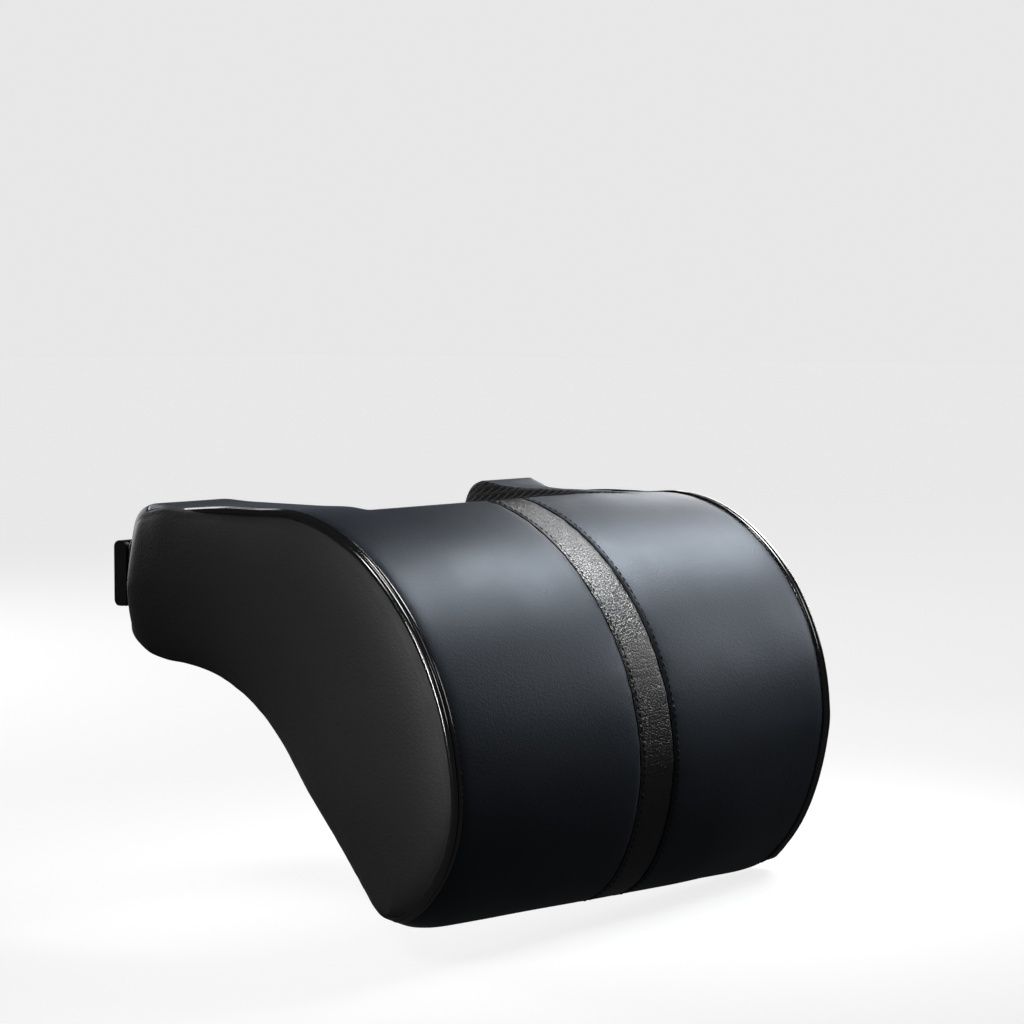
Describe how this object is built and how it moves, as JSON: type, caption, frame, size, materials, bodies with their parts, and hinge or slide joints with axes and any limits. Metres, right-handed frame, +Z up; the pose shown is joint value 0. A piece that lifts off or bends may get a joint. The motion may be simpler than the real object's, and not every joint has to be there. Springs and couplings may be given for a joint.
{
  "type": "headrest neck cushion",
  "caption": "Padded leather neck cushion with piped ends and a centre band, notched for the headrest posts and closed behind them by a buckled strap.",
  "frame": {"origin": "middle of the notch's front wall, level with the middle of the strap", "axes": "+X across the seat, to the right as seen from in front of it, +Y backwards along the notch, +Z up along the headrest posts"},
  "size_m": [0.28, 0.2138, 0.184],
  "materials": {
    "foam": "matte",
    "liner": "matte",
    "side_leather": "matte",
    "front_leather": "satin",
    "band_leather": "satin",
    "patent_piping": "gloss",
    "mesh_fabric": "matte",
    "thread": "satin",
    "webbing": "matte",
    "buckle_plastic": "satin",
    "zip_metal": "satin"
  },
  "bodies": {
    "cushion": {"foam_core": "foam", "foam_liner": "liner", "left_end_panel": "side_leather", "right_end_panel": "side_leather", "front_panel_left": "front_leather", "front_panel_right": "front_leather", "centre_band": "band_leather", "under_panel": "mesh_fabric", "left_arm_back_panel": "side_leather", "right_arm_back_panel": "side_leather", "notch_lining": "mesh_fabric", "left_piping": "patent_piping", "right_piping": "patent_piping", "band_seam_left": "patent_piping", "band_seam_right": "patent_piping", "topstitch_left": "thread", "topstitch_right": "thread", "zip_tape_upper": "webbing", "zip_tape_lower": "webbing", "zip_teeth": "buckle_plastic", "zip_stops": "zip_metal", "left_anchor_patch": "side_leather", "left_anchor_webbing": "webbing", "right_anchor_patch": "side_leather", "anchor_stitches": "thread", "buckle_socket": "buckle_plastic", "buckle_plug": "buckle_plastic", "strap_main": "webbing", "strap_return": "webbing"},
    "prong_upper": {"prong_upper": "buckle_plastic"},
    "prong_lower": {"prong_lower": "buckle_plastic"},
    "adjuster": {"tri_glide": "buckle_plastic"},
    "slider": {"zip_slider": "zip_metal"},
    "pull": {"zip_pull": "zip_metal"}
  },
  "joints": [
    {"name": "prong_upper_squeeze", "type": "hinge", "parent": "cushion", "child": "prong_upper", "pos_m": [-0.1022, 0.1178, 0.009], "axis": [0, -1, 0], "range_deg": [0, 12], "stiffness_Nm_per_rad": 0.3},
    {"name": "prong_lower_squeeze", "type": "hinge", "parent": "cushion", "child": "prong_lower", "pos_m": [-0.1022, 0.1178, -0.009], "axis": [0, 1, 0], "range_deg": [0, 12], "stiffness_Nm_per_rad": 0.3},
    {"name": "strap_adjust", "type": "slide", "parent": "cushion", "child": "adjuster", "axis": [1, 0, 0], "range_m": [-0.02, 0.05], "deforming": ["strap_return"]},
    {"name": "zip_open", "type": "slide", "parent": "cushion", "child": "slider", "axis": [-1, 0, 0], "range_m": [0, 0.204]},
    {"name": "pull_swing", "type": "hinge", "parent": "slider", "child": "pull", "pos_m": [0.102, -0.00692, -0.09806], "axis": [0, -0.6, -0.8], "range_deg": [0, 170]}
  ]
}
